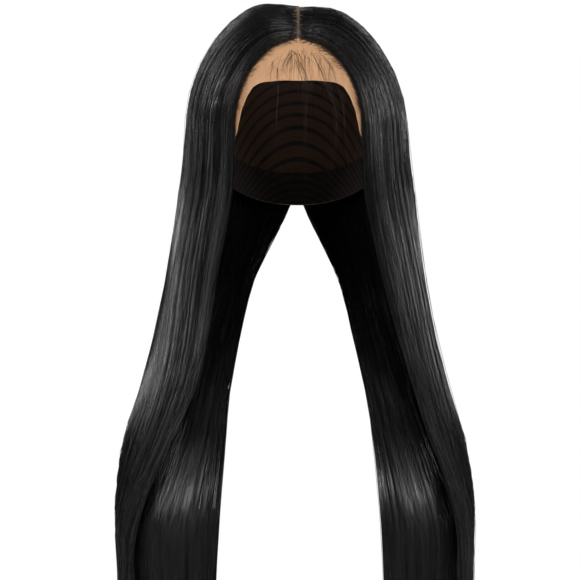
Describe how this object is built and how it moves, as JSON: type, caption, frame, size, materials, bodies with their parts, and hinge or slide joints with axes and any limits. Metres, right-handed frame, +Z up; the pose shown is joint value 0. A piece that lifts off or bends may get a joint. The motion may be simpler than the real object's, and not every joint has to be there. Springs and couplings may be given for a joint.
{
  "type": "lace front wig",
  "caption": "Long straight black wig with a centre part, hair brought forward over both shoulders, and a net front with an uncut wavy edge.",
  "frame": {"origin": "inside of the cap at the crown, where it rests on the top of the head", "axes": "+Z up the wearer's head, -Y the way the face looks, +X to the wearer's left"},
  "size_m": [0.2928, 0.2302, 0.5779],
  "materials": {
    "hair": "satin synthetic fibre",
    "lace": "sheer knitted net",
    "cap_net": "stretch net with wefts",
    "elastic_band": "woven elastic"
  },
  "bodies": {
    "root": {"lace_front": "lace", "cap_crown": "cap_net", "nape_band": "elastic_band", "hair_front_left": "hair", "hair_front_right": "hair", "hair_side_left": "hair", "hair_side_right": "hair", "hair_back_left": "hair", "hair_back_right": "hair"}
  },
  "joints": []
}
